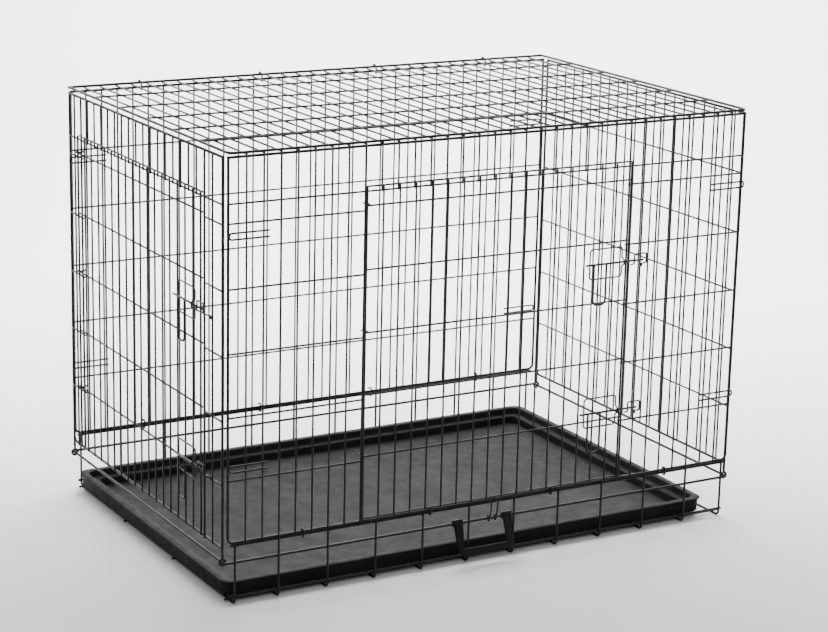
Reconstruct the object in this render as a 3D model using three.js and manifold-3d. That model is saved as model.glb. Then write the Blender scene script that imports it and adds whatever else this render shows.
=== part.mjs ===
// Folding wire dog crate: a base basket with a slide-out pan, two long side panels, two end
// panels, a top panel, two doors with slide-bolt latches, a carry handle and a fold clip.
// Millimetres, +X along the crate, +Y to the back, +Z up, the floor at z = 0.

import * as THREE from 'three';
import { mergeVertices } from 'three/addons/utils/BufferGeometryUtils.js';
import Module from 'manifold-3d';

// ---------------------------------------------------------------- driving dimensions
const LENGTH = 1067; // long panels, outside their corner posts
const WIDTH = 700; // between the outer faces of the long panels' edge wires
const HEIGHT = 792.3; // floor to the top edge of the long panels

const EDGE_R = 2.3; // edge wires of panels and base rails
const THIN_R = 1.6; // grille wires
const DOOR_R = 1.8; // edge wires of doors and of door openings
const BASE_R = 2.0; // cross wires of the base basket
const RING_R = 1.5; // wire of the hinge rings
const WELD = 0.4; // how far two welded wires sink into each other
const DOOR_WELD = 0.15; // least sink of a door's cross wires into its edge wires
const TOUCH = 0.05; // between crossed wires inside a grille, which weld at their ends
const GAP = 0.3; // between separate pieces that touch
const WIRE_SIDES = 6;

const SIDE_BAYS = 33; // grille bays along the crate
const END_BAYS = 21; // grille bays across the crate
const LEVELS = 6; // equal steps of the horizontal wires
const DOOR_TOP_LEVEL = 5.3; // height of both door openings, in levels

const RAIL_Z = 108; // top rail of the base basket
const LOW_RAIL_Z = 77; // lower rail, on which the end panels hinge
const BASE_EVERY = 3; // a base cross wire under every third grille wire
const FLOOR_ROWS = 4; // lengthwise wires under the pan
const END_PANEL_GAP = 1.2; // between the end panels and the ends of the long panels
const END_SIDE_GAP = 4.6; // between the end panels' posts and the long panels
const END_BOTTOM_Z = 102; // bottom wire of the end panels
const CORNER_R = 10; // bend at the bottom corners of the panels

const FRONT_DOOR_FIRST = 8; // grille wire that is the front door's hinge side
const FRONT_DOOR_LAST = 25; // grille wire that is its latch side
const END_DOOR_FIRST = 2;
const END_DOOR_LAST = 19;
const DOOR_RISE = 10; // the door's cross wires lie this far above the panel's
const DOOR_FOOT = 7; // the door's bottom wire above the panel's bottom wire

const RING_ROWS = 4; // hinge rings along each long edge
const DOOR_RINGS = 3; // hinge rings on each door
const RING_CLEAR = 0.8; // round a wire inside a hinge ring
const BACK_RING_SLACK = 3; // play that lets the back panel climb over the folded front
const TOP_OVERHANG = 7.6; // top panel's hinge wire behind the back panel's top wire

const FRONT_LATCH_LEVELS = { lower: 1.25, upper: 3.76 }; // heights of the latches, in levels
const END_LATCH_LEVELS = { lower: 1.15, upper: 3.66 };
const BOLT_R = 1.9;
const BOLT_LENGTH = 126;
const BOLT_REACH = 29; // bolt past the door's latch edge
const GUIDE_W = 70;
const GUIDE_H = 56;
const GUIDE_INSET = 16; // guide's near side from the door's latch edge
const GUIDE_R = 1.4;
const HANDLE_W = 27;
const HANDLE_DROP = 76;
const HANDLE_INSET = 52; // handle's near leg from the door's latch edge
const KEEPER_H = 26;

const CATCH_LENGTH = 74; // end catches on the long panels
const CATCH_H = 11;
const CATCH_LEVELS = [1.2, 4.82];

const PAN_CLEAR = 6; // beside the pan inside the basket
const PAN_END_CLEAR = 18; // from the pan's ends to the posts, when it is in the middle
const PAN_SHIFT = -20; // the pan stands a little towards the end it slides out of
const PAN_RIM_H = 30;
const PAN_RIM_W = 30;
const PAN_WALL = 2.5;
const PAN_STEP = 12; // the step of the rim down to the pan's floor
const PAN_STEP_OUT = 5; // how far the rim's wall leans out

const CARRY_X = -18.5; // middle of the carry handle
const CARRY_W = 122;
const CARRY_DROP = 60;
const CARRY_T = 5;
const CARRY_STRAP = 12;
const CARRY_TILT = 16; // degrees outward as it hangs
const CLIP_X = 3.5; // middle of the fold clip
const CLIP_W = 14;
const CLIP_R = 1.5;

// ---------------------------------------------------------------- derived positions
const SIDE_Y = WIDTH / 2 - EDGE_R;
const POST_X = LENGTH / 2 - EDGE_R;
const END_X = POST_X + 2 * EDGE_R + END_PANEL_GAP;
const END_POST_Y = SIDE_Y - 2 * EDGE_R - END_SIDE_GAP;
const SIDE_BOTTOM_Z = RAIL_Z + 2 * EDGE_R + GAP + 0.1;
const SIDE_TOP_Z = HEIGHT - EDGE_R;
const VERTICAL_N = EDGE_R + THIN_R - WELD;
const WELDED_N = VERTICAL_N - 2 * THIN_R + WELD;
const HORIZONTAL_N = VERTICAL_N - 2 * THIN_R - TOUCH;
const TOP_Z = SIDE_TOP_Z + EDGE_R + GAP + 2 * THIN_R + EDGE_R - WELD;
const END_TOP_Z = TOP_Z - VERTICAL_N - THIN_R - GAP - EDGE_R - 0.4;
const TOP_HINGE_Y = SIDE_Y + TOP_OVERHANG;
const TOP_FRONT_Y = -SIDE_Y - 4;
const SIDE_PITCH = (2 * POST_X) / SIDE_BAYS;
const END_PITCH = (2 * END_POST_Y) / END_BAYS;
const SIDE_STEP = (SIDE_TOP_Z - SIDE_BOTTOM_Z) / LEVELS;
const END_STEP = (END_TOP_Z - END_BOTTOM_Z) / LEVELS;
const DOOR_LEVEL_N = VERTICAL_N + DOOR_R + GAP + THIN_R;
const DOOR_FACE_N = DOOR_LEVEL_N + 2 * THIN_R + TOUCH;
const DOOR_ROW_N = DOOR_FACE_N - 2 * THIN_R + WELD;
const DOOR_EDGE_N = Math.min(DOOR_FACE_N, DOOR_LEVEL_N + DOOR_R + THIN_R - DOOR_WELD);
const GUIDE_N = DOOR_FACE_N + THIN_R + GAP + GUIDE_R;
const BOLT_N = GUIDE_N + GUIDE_R + GAP + BOLT_R;
const OVER_BOLT_N = BOLT_N + BOLT_R + GAP + GUIDE_R;

// ---------------------------------------------------------------- materials
const BLACK_WIRE = { color: 0x17181a, roughness: 0.42, metalness: 0.35 };
const BLACK_PLASTIC = { color: 0x1d1e20, roughness: 0.55, metalness: 0.0 };

// ---------------------------------------------------------------- solids
const wasm = await Module();
wasm.setup();

function toSolid(geometry) {
  geometry.deleteAttribute('normal');
  geometry.deleteAttribute('uv');
  const merged = mergeVertices(geometry, 1e-4);
  return new wasm.Manifold(new wasm.Mesh({
    numProp: 3,
    vertProperties: Float32Array.from(merged.attributes.position.array),
    triVerts: Uint32Array.from(merged.index.array),
  }));
}

function toGeometry(solid) {
  const mesh = solid.getMesh();
  const geometry = new THREE.BufferGeometry();
  geometry.setAttribute('position', new THREE.BufferAttribute(mesh.vertProperties, 3));
  geometry.setIndex(new THREE.BufferAttribute(mesh.triVerts, 1));
  return geometry;
}

// Joins a list of geometries, neighbours first, so that each join stays small.
function weld(geometries) {
  let solids = geometries.map(toSolid);
  while (solids.length > 1) {
    const next = [];
    for (let i = 0; i < solids.length; i += 2) {
      const pair = solids[i + 1];
      next.push(pair ? solids[i].add(pair) : solids[i]);
    }
    solids = next;
  }
  return toGeometry(solids[0]);
}

const IN_PLANE = Math.PI / WIRE_SIDES;

// A path that keeps its own corner points, with one constant direction across it.
class WirePath extends THREE.Curve {
  constructor(points, across) {
    super();
    this.points = points;
    this.across = across.clone().normalize();
  }

  getPoint(t, target = new THREE.Vector3()) {
    const last = this.points.length - 1;
    return target.copy(this.points[Math.round(t * last)]);
  }

  getPointAt(t, target) {
    return this.getPoint(t, target);
  }

  computeFrenetFrames() {
    const tangents = [];
    const normals = [];
    const binormals = [];
    const last = this.points.length - 1;
    for (let i = 0; i <= last; i += 1) {
      const from = this.points[Math.max(0, i - 1)];
      const here = this.points[i];
      const to = this.points[Math.min(last, i + 1)];
      const incoming = new THREE.Vector3().subVectors(i === 0 ? to : here, i === 0 ? here : from);
      const outgoing = new THREE.Vector3().subVectors(i === last ? here : to, i === last ? from : here);
      const tangent = incoming.normalize().add(outgoing.normalize()).normalize();
      tangents.push(tangent);
      normals.push(this.across.clone());
      binormals.push(new THREE.Vector3().crossVectors(tangent, this.across).normalize());
    }
    return { tangents, normals, binormals };
  }
}

function sectionShape(radius, sides, turn) {
  const shape = new THREE.Shape();
  for (let i = 0; i < sides; i += 1) {
    const angle = (2 * Math.PI * i) / sides + turn;
    const x = radius * Math.cos(angle);
    const y = radius * Math.sin(angle);
    if (i === 0) {
      shape.moveTo(x, y);
    } else {
      shape.lineTo(x, y);
    }
  }
  shape.closePath();
  return shape;
}

// A bent wire through its corner points; an edge of its section faces the across direction,
// or, turned by IN_PLANE, the direction square to it.
function bentWire(points, radius, across, sides = WIRE_SIDES, turn = 0) {
  return new THREE.ExtrudeGeometry(sectionShape(radius, sides, turn), {
    steps: points.length - 1,
    extrudePath: new WirePath(points, across),
    bevelEnabled: false,
    curveSegments: 1,
  });
}

// Replaces each inner corner of a path by an arc of the given radius.
function roundCorners(corners, radius, steps = 3) {
  const path = [corners[0]];
  for (let i = 1; i < corners.length - 1; i += 1) {
    const here = corners[i];
    const back = new THREE.Vector3().subVectors(corners[i - 1], here).normalize();
    const ahead = new THREE.Vector3().subVectors(corners[i + 1], here).normalize();
    const half = back.angleTo(ahead) / 2;
    const reach = radius / Math.tan(half);
    const start = here.clone().addScaledVector(back, reach);
    const end = here.clone().addScaledVector(ahead, reach);
    const middle = back.clone().add(ahead).normalize();
    const centre = here.clone().addScaledVector(middle, radius / Math.sin(half));
    const from = start.clone().sub(centre);
    const to = end.clone().sub(centre);
    const sweep = from.angleTo(to);
    for (let k = 0; k <= steps; k += 1) {
      const a = Math.sin((sweep * (steps - k)) / steps) / Math.sin(sweep);
      const b = Math.sin((sweep * k) / steps) / Math.sin(sweep);
      path.push(centre.clone().addScaledVector(from, a).addScaledVector(to, b));
    }
  }
  path.push(corners[corners.length - 1]);
  return path;
}

// A closed ring round two parallel wires: its plane is square to the wires' direction.
function hingeRing(a, b, direction, innerRadius, wireRadius = RING_R) {
  const radius = innerRadius + wireRadius;
  const steps = 10;
  const geometry = new THREE.TorusGeometry(radius, wireRadius, 5, steps);
  geometry.rotateZ(Math.PI / steps);
  const apart = new THREE.Vector3().subVectors(b, a);
  const half = apart.length() / 2;
  const position = geometry.attributes.position;
  for (let i = 0; i < position.count; i += 1) {
    position.setY(i, position.getY(i) + Math.sign(position.getY(i)) * half);
  }
  const up = apart.clone().normalize();
  const axis = direction.clone().normalize();
  const side = new THREE.Vector3().crossVectors(up, axis);
  geometry.applyMatrix4(new THREE.Matrix4().makeBasis(side, up, axis));
  const middle = a.clone().lerp(b, 0.5);
  geometry.translate(middle.x, middle.y, middle.z);
  return geometry;
}

// ---------------------------------------------------------------- panel frames
// A panel's frame gives a point from its distance along, its height and its distance out.
function panelFrame(origin, along, out) {
  const up = new THREE.Vector3().crossVectors(out, along);
  return {
    along,
    out,
    up,
    at: (u, v, n) => origin.clone()
      .addScaledVector(along, u).addScaledVector(up, v).addScaledVector(out, n),
  };
}

const X = new THREE.Vector3(1, 0, 0);
const Y = new THREE.Vector3(0, 1, 0);
const Z = new THREE.Vector3(0, 0, 1);
const front = panelFrame(new THREE.Vector3(0, -SIDE_Y, 0), X.clone(), Y.clone().negate());
const back = panelFrame(new THREE.Vector3(0, SIDE_Y, 0), X.clone().negate(), Y.clone());
const leftEnd = panelFrame(new THREE.Vector3(-END_X, 0, 0), Y.clone().negate(), X.clone().negate());
const rightEnd = panelFrame(new THREE.Vector3(END_X, 0, 0), Y.clone(), X.clone());
const top = panelFrame(new THREE.Vector3(0, 0, TOP_Z), X.clone(), Z.clone().negate());

function straight(frame, u0, v0, u1, v1, n, radius) {
  return bentWire([frame.at(u0, v0, n), frame.at(u1, v1, n)], radius, frame.out);
}

const sideU = (i) => -POST_X + i * SIDE_PITCH;
const endU = (i) => -END_POST_Y + i * END_PITCH;
const sideV = (level) => SIDE_BOTTOM_Z + level * SIDE_STEP;
const endV = (level) => END_BOTTOM_Z + level * END_STEP;

// Edge wire: one bent wire for the posts and the bottom, and a straight top wire.
function edgeFrame(frame, halfWidth, bottom, upper, radius, n, corner = CORNER_R) {
  const corners = [
    frame.at(-halfWidth, upper, n),
    frame.at(-halfWidth, bottom, n),
    frame.at(halfWidth, bottom, n),
    frame.at(halfWidth, upper, n),
  ];
  return [
    bentWire(roundCorners(corners, corner), radius, frame.out),
    straight(frame, -halfWidth - radius, upper, halfWidth + radius, upper, n, radius),
  ];
}

// Grille of a panel, open between two wires up to a level where it has a door.
function grille(spec) {
  const { frame, bays, place, height, bottomCut, doorFirst, doorLast } = spec;
  const wires = [];
  const lastLevel = LEVELS;
  const half = Math.abs(place(0));
  const doorTop = height(DOOR_TOP_LEVEL);
  for (let i = 1; i < bays; i += 1) {
    const inDoor = doorFirst !== undefined && i > doorFirst && i < doorLast;
    const isEdge = i === doorFirst || i === doorLast;
    const low = inDoor ? doorTop - THIN_R : height(0) - bottomCut;
    const radius = isEdge ? DOOR_R : THIN_R;
    wires.push(straight(frame, place(i), low, place(i), height(lastLevel) + 1.2, VERTICAL_N, radius));
  }
  for (let level = 1; level < lastLevel; level += 1) {
    if (doorFirst === undefined) {
      wires.push(straight(frame, -half, height(level), half, height(level), HORIZONTAL_N, THIN_R));
    } else {
      const nearEnd = place(doorFirst) + 1;
      const farEnd = place(doorLast) - 1;
      wires.push(straight(frame, -half, height(level), nearEnd, height(level), HORIZONTAL_N, THIN_R));
      wires.push(straight(frame, farEnd, height(level), half, height(level), HORIZONTAL_N, THIN_R));
    }
  }
  if (doorFirst !== undefined) {
    wires.push(straight(frame, -half, doorTop, half, doorTop, WELDED_N, THIN_R));
  }
  return wires;
}

function door(spec) {
  const { frame, place, height, first, last } = spec;
  const n = DOOR_FACE_N;
  const low = height(0) + DOOR_FOOT;
  const high = height(DOOR_TOP_LEVEL) + DOOR_RISE;
  const u0 = place(first);
  const u1 = place(last);
  const wires = [
    straight(frame, u0, low, u0, high, DOOR_EDGE_N, DOOR_R),
    straight(frame, u1, low, u1, high, DOOR_EDGE_N, DOOR_R),
  ];
  for (let i = first + 1; i < last; i += 1) {
    wires.push(straight(frame, place(i), low - 1, place(i), high + 1, n, THIN_R));
  }
  for (const v of [low, high]) {
    wires.push(straight(frame, u0 - 1, v, u1 + 1, v, DOOR_ROW_N, THIN_R));
  }
  for (let level = 1; level < LEVELS; level += 1) {
    const v = height(level) + DOOR_RISE;
    wires.push(straight(frame, u0 - 1, v, u1 + 1, v, DOOR_LEVEL_N, THIN_R));
  }
  return weld(wires);
}

// ---------------------------------------------------------------- scene graph
const crate = new THREE.Group();
crate.name = 'wire_dog_crate';

function addMesh(name, geometry, look = BLACK_WIRE) {
  const mesh = new THREE.Mesh(geometry, new THREE.MeshStandardMaterial(look));
  mesh.name = name;
  crate.add(mesh);
  return mesh;
}

// ---------------------------------------------------------------- base basket
const crossN = EDGE_R + BASE_R - WELD;
const railOut = SIDE_Y;
const floorZ = BASE_R;
const rowZ = floorZ + BASE_R + THIN_R + 0.2 - WELD;
const basket = [];
for (let i = 0; i <= SIDE_BAYS; i += BASE_EVERY) {
  const inset = i === 0 ? 12 : 0;
  const outset = i === SIDE_BAYS ? -12 : 0;
  const x = sideU(i) + inset + outset;
  const y = railOut + crossN;
  const upper = RAIL_Z + 1.4;
  const corners = [
    new THREE.Vector3(x, -y, upper),
    new THREE.Vector3(x, -y, floorZ),
    new THREE.Vector3(x, y, floorZ),
    new THREE.Vector3(x, y, upper),
  ];
  basket.push(bentWire(roundCorners(corners, 9, 2), BASE_R, X, WIRE_SIDES, IN_PLANE));
}
for (const side of [-1, 1]) {
  const rail = [
    new THREE.Vector3(-POST_X + 4, side * SIDE_Y, RAIL_Z),
    new THREE.Vector3(POST_X - 4, side * SIDE_Y, RAIL_Z),
  ];
  basket.push(bentWire(rail, EDGE_R, Y));
}
const lowRailCorners = [
  new THREE.Vector3(-20, -SIDE_Y, LOW_RAIL_Z),
  new THREE.Vector3(END_X, -SIDE_Y, LOW_RAIL_Z),
  new THREE.Vector3(END_X, SIDE_Y, LOW_RAIL_Z),
  new THREE.Vector3(-END_X, SIDE_Y, LOW_RAIL_Z),
  new THREE.Vector3(-END_X, -SIDE_Y, LOW_RAIL_Z),
  new THREE.Vector3(-19, -SIDE_Y, LOW_RAIL_Z),
];
basket.push(bentWire(roundCorners(lowRailCorners, 3.5, 2), EDGE_R, Z, WIRE_SIDES, IN_PLANE));
for (let row = 0; row < FLOOR_ROWS; row += 1) {
  const y = (row / (FLOOR_ROWS - 1) - 0.5) * 2 * (SIDE_Y - 14);
  const ends = [new THREE.Vector3(-POST_X, y, rowZ), new THREE.Vector3(POST_X, y, rowZ)];
  basket.push(bentWire(ends, THIN_R + 0.2, Z));
}
for (const side of [-1, 1]) {
  const y = side * (SIDE_Y + crossN - BASE_R - EDGE_R + WELD);
  const ends = [new THREE.Vector3(-POST_X + 4, y, 14), new THREE.Vector3(POST_X - 4, y, 14)];
  basket.push(bentWire(ends, EDGE_R, Y));
}
addMesh('base_basket', weld(basket));

// ---------------------------------------------------------------- pan
function panGeometry() {
  const halfX = POST_X - PAN_END_CLEAR;
  const halfY = SIDE_Y - EDGE_R - PAN_CLEAR;
  const low = rowZ + THIN_R + 0.2 + GAP;
  const rectangle = (hx, hy, r) => {
    const shape = new THREE.Shape();
    shape.moveTo(-hx + r, -hy);
    shape.lineTo(hx - r, -hy);
    shape.absarc(hx - r, -hy + r, r, -Math.PI / 2, 0);
    shape.lineTo(hx, hy - r);
    shape.absarc(hx - r, hy - r, r, 0, Math.PI / 2);
    shape.lineTo(-hx + r, hy);
    shape.absarc(-hx + r, hy - r, r, Math.PI / 2, Math.PI);
    shape.lineTo(-hx, -hy + r);
    shape.absarc(-hx + r, -hy + r, r, Math.PI, 1.5 * Math.PI);
    return shape;
  };
  const slab = (hx, hy, r, z0, z1) => {
    const geometry = new THREE.ExtrudeGeometry(rectangle(hx, hy, r), {
      depth: z1 - z0,
      bevelEnabled: false,
      curveSegments: 3,
    });
    geometry.translate(PAN_SHIFT, 0, z0);
    return toSolid(geometry);
  };
  const inner = PAN_RIM_W;
  const rimTop = low + PAN_RIM_H;
  let solid = slab(halfX - inner, halfY - inner, 14, low, low + PAN_WALL);
  solid = solid.add(slab(halfX - inner, halfY - inner, 14, low, rimTop - PAN_STEP));
  solid = solid.add(slab(halfX - PAN_STEP_OUT, halfY - PAN_STEP_OUT, 20,
    rimTop - PAN_STEP - PAN_WALL, rimTop - PAN_WALL));
  solid = solid.add(slab(halfX, halfY, 22, rimTop - PAN_WALL, rimTop));
  const hollow = [
    slab(halfX - inner - PAN_WALL, halfY - inner - PAN_WALL, 12, low + PAN_WALL, rimTop + 5),
    slab(halfX - PAN_STEP_OUT - PAN_WALL - 8, halfY - PAN_STEP_OUT - PAN_WALL - 8, 16,
      rimTop - PAN_STEP, rimTop + 5),
  ];
  for (const cut of hollow) {
    solid = solid.subtract(cut);
  }
  return toGeometry(solid);
}
addMesh('pan', panGeometry(), BLACK_PLASTIC);

// ---------------------------------------------------------------- long panels
const sideHalf = POST_X;
const frontWires = [
  ...edgeFrame(front, sideHalf, SIDE_BOTTOM_Z, SIDE_TOP_Z, EDGE_R, 0),
  ...grille({
    frame: front,
    bays: SIDE_BAYS,
    place: sideU,
    height: sideV,
    bottomCut: 1.2,
    doorFirst: FRONT_DOOR_FIRST,
    doorLast: FRONT_DOOR_LAST,
  }),
];
addMesh('front_panel', weld(frontWires));

const backWires = [
  ...edgeFrame(back, sideHalf, SIDE_BOTTOM_Z, SIDE_TOP_Z, EDGE_R, 0),
  ...grille({ frame: back, bays: SIDE_BAYS, place: sideU, height: sideV, bottomCut: 1.2 }),
];
addMesh('back_panel', weld(backWires));

addMesh('front_door', door({
  frame: front,
  place: sideU,
  height: sideV,
  first: FRONT_DOOR_FIRST,
  last: FRONT_DOOR_LAST,
}));

// ---------------------------------------------------------------- end panels
const endRingRadius = EDGE_R + RING_CLEAR + EDGE_R;

function endPanel(frame, withDoor) {
  const wires = edgeFrame(frame, END_POST_Y, END_BOTTOM_Z, END_TOP_Z, EDGE_R, 0);
  for (const side of [-1, 1]) {
    const u = side * END_POST_Y;
    const leg = [frame.at(u, END_BOTTOM_Z + 12, 0), frame.at(u, LOW_RAIL_Z + endRingRadius, 0)];
    wires.push(bentWire(leg, EDGE_R, frame.out));
    const loop = new THREE.TorusGeometry(endRingRadius, EDGE_R, 6, 12);
    const basis = new THREE.Matrix4().makeBasis(frame.out.clone(), frame.up.clone(),
      new THREE.Vector3().crossVectors(frame.out, frame.up));
    loop.applyMatrix4(basis);
    const middle = frame.at(u, LOW_RAIL_Z, 0);
    loop.translate(middle.x, middle.y, middle.z);
    wires.push(loop);
  }
  wires.push(...grille({
    frame,
    bays: END_BAYS,
    place: endU,
    height: endV,
    bottomCut: 1.2,
    doorFirst: withDoor ? END_DOOR_FIRST : undefined,
    doorLast: withDoor ? END_DOOR_LAST : undefined,
  }));
  return weld(wires);
}
addMesh('left_end_panel', endPanel(leftEnd, true));
addMesh('right_end_panel', endPanel(rightEnd, false));
addMesh('left_end_door', door({
  frame: leftEnd,
  place: endU,
  height: endV,
  first: END_DOOR_FIRST,
  last: END_DOOR_LAST,
}));

// ---------------------------------------------------------------- top panel
function topPanel() {
  const v = (y) => -y;
  const corners = [
    top.at(-sideHalf, v(TOP_HINGE_Y), 0),
    top.at(-sideHalf, v(TOP_FRONT_Y), 0),
    top.at(sideHalf, v(TOP_FRONT_Y), 0),
    top.at(sideHalf, v(TOP_HINGE_Y), 0),
  ];
  const wires = [
    bentWire(roundCorners(corners, CORNER_R), EDGE_R, top.out),
    straight(top, -sideHalf - EDGE_R, v(TOP_HINGE_Y), sideHalf + EDGE_R, v(TOP_HINGE_Y), 0, EDGE_R),
  ];
  for (let i = 1; i < SIDE_BAYS; i += 1) {
    const u = sideU(i);
    wires.push(straight(top, u, v(TOP_HINGE_Y + 1.2), u, v(TOP_FRONT_Y - 1.2), VERTICAL_N, THIN_R));
  }
  for (let row = 1; row < LEVELS; row += 1) {
    const y = TOP_FRONT_Y + ((TOP_HINGE_Y - TOP_FRONT_Y) * row) / LEVELS;
    wires.push(straight(top, -sideHalf, v(y), sideHalf, v(y), HORIZONTAL_N, THIN_R));
  }
  return weld(wires);
}
addMesh('top_panel', topPanel());

// ---------------------------------------------------------------- hinge rings
const ringInner = EDGE_R + RING_CLEAR;
for (let k = 0; k < RING_ROWS; k += 1) {
  const bay = Math.round(((k + 0.5) * SIDE_BAYS) / RING_ROWS - 0.5) + 0.5;
  const x = sideU(bay);
  const frontRail = new THREE.Vector3(x, -SIDE_Y, RAIL_Z);
  const frontWire = new THREE.Vector3(x, -SIDE_Y, SIDE_BOTTOM_Z);
  addMesh(`front_hinge_ring_${k + 1}`, hingeRing(frontRail, frontWire, X, ringInner));
  const backRail = new THREE.Vector3(x, SIDE_Y, RAIL_Z);
  const backWire = new THREE.Vector3(x, SIDE_Y, SIDE_BOTTOM_Z + BACK_RING_SLACK);
  addMesh(`back_hinge_ring_${k + 1}`, hingeRing(backRail, backWire, X, ringInner + GAP));
  const topWire = new THREE.Vector3(x, SIDE_Y, SIDE_TOP_Z);
  const topHinge = new THREE.Vector3(x, TOP_HINGE_Y, TOP_Z);
  addMesh(`top_hinge_ring_${k + 1}`, hingeRing(topWire, topHinge, X, ringInner));
}

function doorRings(name, frame, place, height, first) {
  for (let k = 0; k < DOOR_RINGS; k += 1) {
    const v = height(1 + 2 * k) + DOOR_RISE + RING_R + THIN_R + 2 * GAP;
    const fixed = frame.at(place(first), v, VERTICAL_N);
    const moving = frame.at(place(first), v, DOOR_EDGE_N);
    addMesh(`${name}_hinge_ring_${k + 1}`, hingeRing(fixed, moving, Z, DOOR_R + 0.7, 1.3));
  }
}
doorRings('front_door', front, sideU, sideV, FRONT_DOOR_FIRST);
doorRings('left_end_door', leftEnd, endU, endV, END_DOOR_FIRST);

// ---------------------------------------------------------------- latches
function latch(name, frame, edge, pitch, v) {
  const boltStart = edge + BOLT_REACH - BOLT_LENGTH;
  const bolt = [frame.at(boltStart, v, BOLT_N), frame.at(edge + BOLT_REACH, v, BOLT_N)];
  addMesh(`${name}_bolt`, bentWire(bolt, BOLT_R, frame.out));

  // The guide lies on the door; its near side arches over the bolt and holds it.
  const near = edge - GUIDE_INSET;
  const far = near - GUIDE_W;
  const h = GUIDE_H / 2;
  const arch = OVER_BOLT_N;
  const loop = [
    frame.at(near, v + 8, GUIDE_N),
    frame.at(near, v + h, GUIDE_N),
    frame.at(far, v + h, GUIDE_N),
    frame.at(far, v - h, GUIDE_N),
    frame.at(near, v - h, GUIDE_N),
    frame.at(near, v - 8, GUIDE_N),
  ];
  const over = [
    frame.at(near, v + 9, GUIDE_N),
    frame.at(near, v + 3.5, arch),
    frame.at(near, v - 3.5, arch),
    frame.at(near, v - 9, GUIDE_N),
  ];
  addMesh(`${name}_guide`, weld([
    bentWire(roundCorners(loop, 6, 2), GUIDE_R, frame.out, 5),
    bentWire(over, GUIDE_R, frame.along, 5),
  ]));

  const leg = edge - HANDLE_INSET;
  const grip = [
    frame.at(leg, v - BOLT_R - GAP, BOLT_N),
    frame.at(leg, v - HANDLE_DROP, BOLT_N),
    frame.at(leg - HANDLE_W, v - HANDLE_DROP, BOLT_N),
    frame.at(leg - HANDLE_W, v - BOLT_R - GAP, BOLT_N),
  ];
  addMesh(`${name}_handle`, bentWire(roundCorners(grip, 9, 3), BOLT_R, frame.out));

  // The keeper stands on two grille wires of the panel and arches over the bolt's end.
  const seat = VERTICAL_N + THIN_R + GAP + 0.4 + GUIDE_R;
  const k0 = edge + 7;
  const k1 = edge + pitch + 1;
  const keeper = [
    frame.at(k0, v - 10, seat + 2.5),
    frame.at(k0, v - 5, arch),
    frame.at(k0, v + KEEPER_H / 2, arch),
    frame.at(k1, v + KEEPER_H / 2, arch),
    frame.at(k1, v - 5, arch),
    frame.at(k1, v - 10, seat),
    frame.at(k1, v - 16, seat),
  ];
  addMesh(`${name}_keeper`, bentWire(roundCorners(keeper, 2.2, 1), GUIDE_R, frame.along, 5));
}
for (const [row, level] of Object.entries(FRONT_LATCH_LEVELS)) {
  latch(`front_${row}`, front, sideU(FRONT_DOOR_LAST), SIDE_PITCH, sideV(level));
}
for (const [row, level] of Object.entries(END_LATCH_LEVELS)) {
  latch(`left_end_${row}`, leftEnd, endU(END_DOOR_LAST), END_PITCH, endV(level));
}

// ---------------------------------------------------------------- end catches
function endCatches(name, frame) {
  for (const side of [-1, 1]) {
    const n = VERTICAL_N + 2 * THIN_R + GAP;
    const tip = side * (sideHalf + 1);
    const root = side * (sideHalf - CATCH_LENGTH);
    const end = side < 0 ? 'a' : 'b';
    CATCH_LEVELS.forEach((level, row) => {
      const v = sideV(level);
      const corners = [
        frame.at(root, v - CATCH_H / 2, n),
        frame.at(tip, v - CATCH_H / 2, n),
        frame.at(tip, v + CATCH_H / 2, n),
        frame.at(root, v + CATCH_H / 2, n),
      ];
      const wire = bentWire(roundCorners(corners, 4, 3), THIN_R, frame.out);
      addMesh(`${name}_catch_${end}${row + 1}`, wire);
    });
  }
}
endCatches('front', front);
endCatches('back', back);

// ---------------------------------------------------------------- carry handle
function carryHandle() {
  const half = CARRY_W / 2;
  const bore = EDGE_R + 0.5;
  const outline = new THREE.Shape();
  const strap = CARRY_STRAP;
  outline.moveTo(-half, 7);
  outline.lineTo(-half + strap + 6, 7);
  outline.lineTo(-half + strap + 3, -CARRY_DROP + strap);
  outline.lineTo(half - strap - 3, -CARRY_DROP + strap);
  outline.lineTo(half - strap - 6, 7);
  outline.lineTo(half, 7);
  outline.lineTo(half - 3, -CARRY_DROP + 5);
  outline.lineTo(half - 9, -CARRY_DROP);
  outline.lineTo(-half + 9, -CARRY_DROP);
  outline.lineTo(-half + 3, -CARRY_DROP + 5);
  outline.closePath();
  const strapSolid = new THREE.ExtrudeGeometry(outline, { depth: CARRY_T, bevelEnabled: false });
  strapSolid.translate(0, 0, bore - 1);
  let solid = toSolid(strapSolid);
  for (const side of [-1, 1]) {
    const length = strap + 6;
    const sleeve = new THREE.CylinderGeometry(bore + 3, bore + 3, length, 14);
    sleeve.rotateZ(Math.PI / 2);
    sleeve.translate(side * (half - length / 2), 0, 0);
    solid = solid.add(toSolid(sleeve));
  }
  const hole = new THREE.CylinderGeometry(bore, bore, CARRY_W + 20, 12);
  hole.rotateZ(Math.PI / 2);
  solid = solid.subtract(toSolid(hole));
  const geometry = toGeometry(solid);
  geometry.rotateX(Math.PI / 2);
  geometry.rotateX(-THREE.MathUtils.degToRad(CARRY_TILT));
  geometry.translate(CARRY_X, -SIDE_Y, LOW_RAIL_Z);
  return geometry;
}
addMesh('carry_handle', carryHandle(), BLACK_PLASTIC);

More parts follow.
